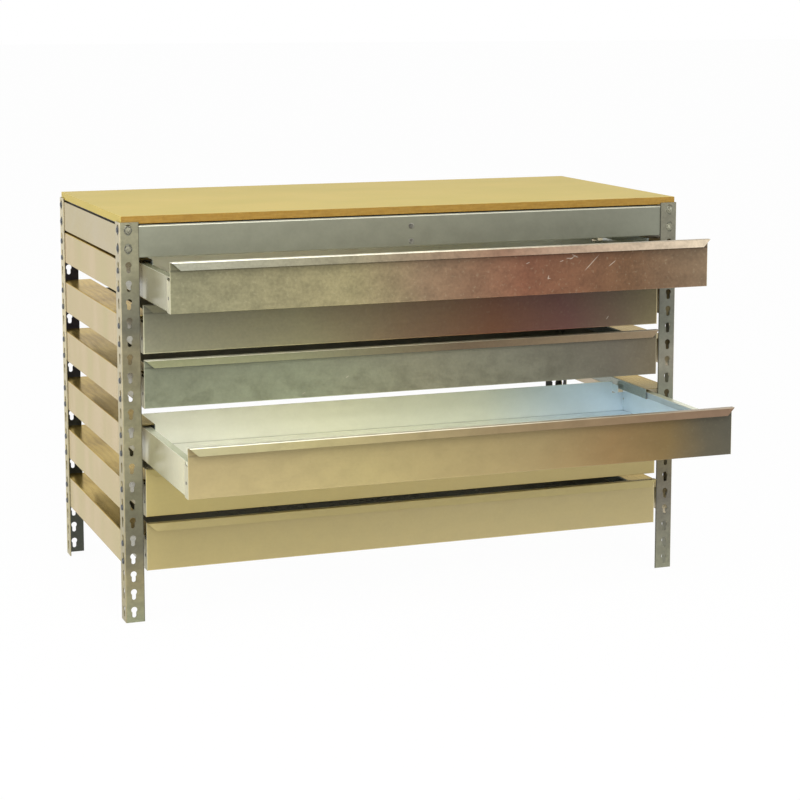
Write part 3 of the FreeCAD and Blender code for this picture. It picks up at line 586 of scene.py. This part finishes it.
# Painted light, shade and reflection on the trays' outer sides: paler near the front and darker further
# back, and paler on the fourth drawer than on the others.
tray_skin_shaded = [(0, (0.48, 0.46, 0.30)), (0.25, (0.37, 0.35, 0.235)), (1, (0.31, 0.30, 0.20))]
tray_skin_lit = [(0, (0.70, 0.66, 0.39)), (0.25, (0.54, 0.51, 0.31)), (1, (0.42, 0.41, 0.27))]
# Painted shade and light on the hooks' tops: dark olive as if shaded, and pale on the fourth drawer as
# if lit.
tray_hook_shaded = (0.25, 0.25, 0.14)
tray_hook_lit = (0.70, 0.72, 0.53)
tray_under = (0.90, 0.90, 0.76)
tray_rear = (0.50, 0.49, 0.40)
# Painted shade: near black in the hollows under the hooked edges.
tray_hollow_shade = (0.004, 0.004, 0.003)
# Painted shade: the hooks' inner lips, grey-blue as if in shadow.
tray_lip_shade = (0.34, 0.40, 0.42)


def tray_paint(number_down):
    """Its inside's tones from left to right, painted light and reflection; its own outside, with painted
    light and shade; painted shade in the hooks' hollows, on their lips and along the walls' feet.
    """
    low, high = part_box(f"drawer_tray_{number_down}")
    # The fourth drawer takes the paler, painted-lit outer side and hook top.
    paler = number_down == 4
    skin_tones = tray_skin_lit if paler else tray_skin_shaded
    hook_tone = tray_hook_lit if paler else tray_hook_shaded
    inside_tones = tray_open_lit.get(number_down, tray_closed_shade)

    def paint(place):
        inside = place.along("X").share(low.x, high.x).ramp(inside_tones)
        skin = place.along("Y").share(low.y, high.y).ramp(skin_tones)
        beside = high.x - abs(place.along("X"))
        drop = high.z - place.along("Z")
        above = place.along("Z") - low.z
        behind = high.y - place.along("Y")
        under_hook = drop.past(hollow_top_ends, drawer_sheet) - drop.past(hollow_foot_ends, hook_high)
        past_skin = beside.past(hollow_side_ends, drawer_sheet)
        past_hook = beside.past(lip_skin_ends, drawer_sheet, hook_wide)
        past_lip = beside.past(lip_back_ends, drawer_sheet, hook_wide)
        # Painted shade in the hollow under each hook.
        hollow = (past_skin - past_hook) * under_hook
        # Painted shade on the hook's lip.
        lip = (past_hook - past_lip) * under_hook
        # Painted shade along the walls' feet.
        foot_shade_line = above.past(foot_shade_ends, drawer_sheet)
        foot_shade_line = foot_shade_line - above.past(foot_shade_over_ends, drawer_sheet)
        inside = inside.shaded(1 - foot_shade_line * foot_shade_dark).mix(lip * tray_lip_shade_share, tray_lip_shade)
        inside = inside.mix(1 - above.past(skin_ends, drawer_sheet), tray_under)
        inside = inside.mix(1 - behind.past(skin_ends, drawer_sheet), tray_rear)
        both = inside.mix(1 - beside.past(skin_ends, drawer_sheet), skin)
        both = both.mix(1 - drop.past(hook_top_ends, drawer_sheet), hook_tone)
        return both.mix(hollow, tray_hollow_shade)

    return paint


for count in range(1, drawer_count + 1):
    tray_zinc = zinc_finish(
        f"tray_zinc_{count}", tray_paint(count), seed=20 + count,
        metal=0.45, rough=0.22, uneven=0.05, mottle=0.03, speck=0.015, relief=0.01,
    )
    dress(f"drawer_tray_{count}", tray_zinc)
    dress(f"drawer_back_{count}", tray_zinc)


# Drawer fronts: each is one folded sheet with a slanted finger hood along its top edge. Zinc of
# many tones, mixed with painted reflections, painted light on the hoods and painted highlights and
# shade, cloudy and scuffed on the upper ones, which are handled most.
scratch_wide = 0.0012
scratch_ends = (0.3, 1)
scratch_fade = 0.3
scratch_share = 0.5
scratch_pale = (0.62, 0.54, 0.44)
front_scratches = {
    1: [
        ((0.2977, 0.7237), (0.3353, 0.7605)), ((0.3543, 0.7318), (0.3732, 0.7458)),
        ((0.1652, 0.7457), (0.1753, 0.7497)), ((0.2640, 0.7500), (0.2800, 0.7600)),
        ((0.2690, 0.7620), (0.2860, 0.7540)), ((0.2560, 0.7540), (0.2740, 0.7530)),
        ((0.2160, 0.7100), (0.2180, 0.7210)), ((0.2130, 0.7150), (0.2230, 0.7125)),
        ((0.2420, 0.7470), (0.2520, 0.7500)),
    ],
    2: [((0.4626, 0.5815), (0.4694, 0.5904))],
    3: [((-0.2490, 0.4590), (-0.2400, 0.4640)), ((-0.1510, 0.4880), (-0.1430, 0.4930))],
}


def scratch(place, start, end):
    """1 along a straight scratch on the face and 0 beside it. Both ends lie in the X-Z plane."""
    run = Vector(end) - Vector(start)
    long = run.length
    across = place.along("X") - start[0]
    up = place.along("Z") - start[1]
    travel = (across * run.x + up * run.y) / (long * long)
    aside = abs(across * run.y - up * run.x) / long
    both_ends = travel.between(0, scratch_fade) * (1 - travel.between(1 - scratch_fade, 1))
    return (1 - aside.past(scratch_ends, scratch_wide)) * both_ends


hood_reach = 0.017
hood_drop = 0.016
hood_ends = (0.5, 1.5)
hood_shade_high = 0.006
hood_shade_ends = (0, 0.1)
hood_shade_over_ends = (0.4, 1)
top_strip = 0.0019
top_strip_ends = (-1, -0.5)
edge_line = 0.0024
foot_edge_ends = (0.6, 1)
side_edge_ends = (0.5, 1)
tone_drift_scale = 3
tone_drift_stretch = (1, 1, 2.5)
tone_drift = 0.12
front_fleck_scale = 130
front_fleck_band = (0.56, 0.78)
# The faces' tones from end to end mix the zinc's own colours with painted reflections of the room.
front_tones_and_reflections = {
    1: [
        (0, (0.204, 0.196, 0.115)), (0.3, (0.262, 0.226, 0.114)), (0.45, (0.217, 0.145, 0.0835)),
        (0.65, (0.181, 0.074, 0.0391)), (0.85, (0.148, 0.0765, 0.0365)), (1, (0.188, 0.13, 0.077)),
    ],
    2: [
        (0, (0.22, 0.214, 0.143)), (0.3, (0.23, 0.208, 0.115)), (0.5, (0.168, 0.11, 0.0596)),
        (0.65, (0.14, 0.0614, 0.0307)), (0.8, (0.117, 0.0521, 0.0418)), (0.91, (0.119, 0.087, 0.054)),
        (0.96, (0.15, 0.122, 0.063)), (1, (0.157, 0.128, 0.066)),
    ],
    3: [
        (0, (0.23, 0.247, 0.17)), (0.3, (0.303, 0.327, 0.22)), (0.5, (0.297, 0.289, 0.199)),
        (0.7, (0.246, 0.239, 0.176)), (0.9, (0.166, 0.146, 0.108)), (1, (0.163, 0.133, 0.0805)),
    ],
    4: [
        (0, (0.392, 0.314, 0.151)), (0.3, (0.378, 0.307, 0.134)), (0.6, (0.296, 0.224, 0.1)),
        (0.75, (0.236, 0.152, 0.06)), (0.86, (0.176, 0.119, 0.044)), (0.94, (0.097, 0.084, 0.053)),
        (1, (0.0827, 0.0766, 0.0539)),
    ],
    5: [(0, (0.47, 0.386, 0.152)), (0.6, (0.46, 0.37, 0.158)), (1, (0.42, 0.335, 0.145))],
    6: [(0, (0.444, 0.363, 0.159)), (0.6, (0.459, 0.378, 0.183)), (1, (0.455, 0.374, 0.184))],
}
# Painted light: the hoods' own tones, lighter or darker than the faces as the light falls on their
# upward slope.
hood_lit_tones = {
    1: [
        (0, (0.182, 0.182, 0.134)), (0.3, (0.174, 0.156, 0.0961)), (0.6, (0.207, 0.117, 0.072)),
        (1, (0.54, 0.45, 0.33)),
    ],
    2: [(0, (0.18, 0.17, 0.11)), (1, (0.13, 0.10, 0.055))],
    3: [
        (0, (0.215, 0.22, 0.115)), (0.3, (0.22, 0.22, 0.12)), (0.6, (0.15, 0.105, 0.06)),
        (1, (0.29, 0.215, 0.13)),
    ],
    4: [
        (0, (0.30, 0.275, 0.15)), (0.2, (0.31, 0.265, 0.12)), (0.6, (0.20, 0.14, 0.07)),
        (1, (0.19, 0.12, 0.075)),
    ],
    5: [(0, (0.40, 0.33, 0.13)), (1, (0.34, 0.27, 0.115))],
    6: [(0, (0.42, 0.345, 0.15)), (1, (0.43, 0.355, 0.16))],
}
# Painted highlight: a bright line along each hood's top strip, fading to the right.
top_highlight = [
    (0, (0.98, 0.97, 0.82)), (0.5, (0.88, 0.82, 0.62)), (0.75, (0.36, 0.31, 0.22)),
    (1, (0.44, 0.37, 0.27)),
]
# Painted light: the fronts' side folds, paler as if lit from the side, like the trays' outer sides.
front_flank_lit = (0.60, 0.57, 0.39)
front_fleck = (0.46, 0.42, 0.27)

# How strong each of a front's marks is, by the drawer's number from the top. The rims' glints, the
# shade under the hood, the shade towards the top and the top highlight are painted light and shade.
front_mottle = {1: 0.17, 2: 0.09, 3: 0.09, 4: 0.05, 5: 0.04, 6: 0.04}
front_speck = {1: 0.16, 2: 0.07, 3: 0.07, 4: 0.03, 5: 0.02, 6: 0.02}
front_fleck_share = {1: 0.22, 2: 0.06, 3: 0.08, 4: 0.05, 5: 0, 6: 0}
shade_towards_top = {1: 0.1, 2: 0.7, 3: 0.1, 4: 0.25, 5: 0, 6: 0.1}
edge_glint = {1: 0.35, 2: 1.5, 3: 0.3, 4: 0.2, 5: 0.3, 6: 0.2}
hood_shade_dark = {1: 0.45, 2: 0.3, 3: 0.4, 4: 0.25, 5: 0, 6: 0}
top_highlight_share = {1: 1, 2: 0, 3: 0.8, 4: 0.8, 5: 0, 6: 0}


def front_paint(number_down):
    """Tones and painted reflections from end to end, painted light on the hood, painted highlights on
    the rims and top strip, painted shade under the hood and towards the top, flecks, scratches.
    """
    low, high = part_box(f"drawer_front_{number_down}")

    def paint(place):
        drift = cloud(place, tone_drift_scale, 2, tone_drift_stretch, shift=(number_down, 0, 0))
        share = place.along("X").share(low.x, high.x) + drift.swing(tone_drift)
        up = place.along("Z")
        # Painted highlights along the face's bottom and side rims.
        beside = high.x - abs(place.along("X"))
        foot_edge = 1 - (up - low.z).past(foot_edge_ends, edge_line)
        edge = foot_edge.math("MAXIMUM", 1 - beside.past(side_edge_ends, edge_line))
        # Painted shade: a dark line just under the hood's free edge.
        under_hood = high.z - hood_drop - up
        dark = under_hood.past(hood_shade_ends, hood_shade_high)
        dark = dark - under_hood.past(hood_shade_over_ends, hood_shade_high)
        rise = up.share(low.z, high.z)
        shade = (1 + edge * edge_glint[number_down]) * (1 - dark * hood_shade_dark[number_down])
        # Painted shade: darker towards the face's top and lighter towards its foot, most on the second
        # drawer, under the first.
        shade = shade * (1 + (0.5 - rise) * shade_towards_top[number_down])
        face = share.ramp(front_tones_and_reflections[number_down]).shaded(shade)
        flecks = cloud(place, front_fleck_scale, detail=6, shift=(0, 0, number_down))
        flecks = flecks.between(*front_fleck_band) * front_fleck_share[number_down]
        face = face.mix(flecks, front_fleck)
        for start, end in front_scratches.get(number_down, []):
            face = face.mix(scratch(place, start, end) * scratch_share, scratch_pale)
        # Painted light on the side folds.
        face = face.mix(1 - beside.past(skin_ends, drawer_sheet), front_flank_lit)
        before_face = low.y + hood_reach - place.along("Y")
        face = face.mix(before_face.past(hood_ends, drawer_sheet), share.ramp(hood_lit_tones[number_down]))
        on_top = up.past(top_strip_ends, top_strip, high.z) * top_highlight_share[number_down]
        return face.mix(on_top, share.ramp(top_highlight))

    return paint


for count in range(1, drawer_count + 1):
    front_zinc = zinc_finish(
        f"front_zinc_{count}", front_paint(count), seed=10 + count,
        mottle=front_mottle[count], speck=front_speck[count],
    )
    dress(f"drawer_front_{count}", front_zinc)


# Rivets and bolts: zinc-coated steel. Bolts with a wide washer face hold the beams over the posts'
# top keyholes, headed rivets lock the rails, and small ones hold each drawer's front and back.
rivet_tones = [(0.35, (0.10, 0.095, 0.08)), (0.6, (0.30, 0.29, 0.24))]
rivet_scale = 110
side_rivet_shade = (0.075, 0.08, 0.085)
side_rivet_fade = 0.0002
# Painted highlights: the bright end of the bolts' tones makes bright specks on their heads. Painted
# shade: the dark broken rim round each washer face.
bolt_tones_and_highlights = [(0.3, (0.15, 0.145, 0.11)), (0.5, (0.25, 0.24, 0.17)), (0.7, (0.44, 0.44, 0.34))]
bolt_scale = 320
bolt_radius = 0.0085
bolt_rim_shade = (0.08, 0.08, 0.065)
bolt_rim_ends = (0.68, 0.76)
bolt_rim_gaps = (0.42, 0.52)
bolt_faint_from = 0.1
bolt_faint_share = 0.6
bolts_low, bolts_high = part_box("beam_bolts_front")


def rivet_paint(place):
    """Blotched grey, with painted shade on the heads that face sideways."""
    sideways = abs(place.along("X")).between(half_width, half_width + side_rivet_fade)
    return cloud(place, rivet_scale).ramp(rivet_tones).mix(sideways, side_rivet_shade)


def bolt_paint(place):
    """A broken rim of painted shade round each washer face, fainter on the right, with painted
    highlights as bright specks inside.
    """
    across = abs(place.along("X")) - (bolts_high.x - bolt_radius)
    upper = abs(place.along("Z") - (bolts_high.z - bolt_radius))
    lower = abs(place.along("Z") - (bolts_low.z + bolt_radius))
    up = upper.math("MINIMUM", lower)
    far = (across * across + up * up).math("SQRT")
    specks = cloud(place, bolt_scale)
    rim = far.past(bolt_rim_ends, bolt_radius) * specks.between(*bolt_rim_gaps)
    faint = place.along("X").between(-bolt_faint_from, bolt_faint_from) * bolt_faint_share
    return specks.ramp(bolt_tones_and_highlights).mix(rim * (1 - faint), bolt_rim_shade)


rivet_zinc = zinc_finish("rivet_zinc", rivet_paint, seed=7, mottle=0.2)
bolt_zinc = zinc_finish("bolt_zinc", bolt_paint, seed=8, mottle=0.1)
for node in nodes:
    if "rivets" in node or "bolts" in node:
        dress(node, bolt_zinc if node == "beam_bolts_front" else rivet_zinc)
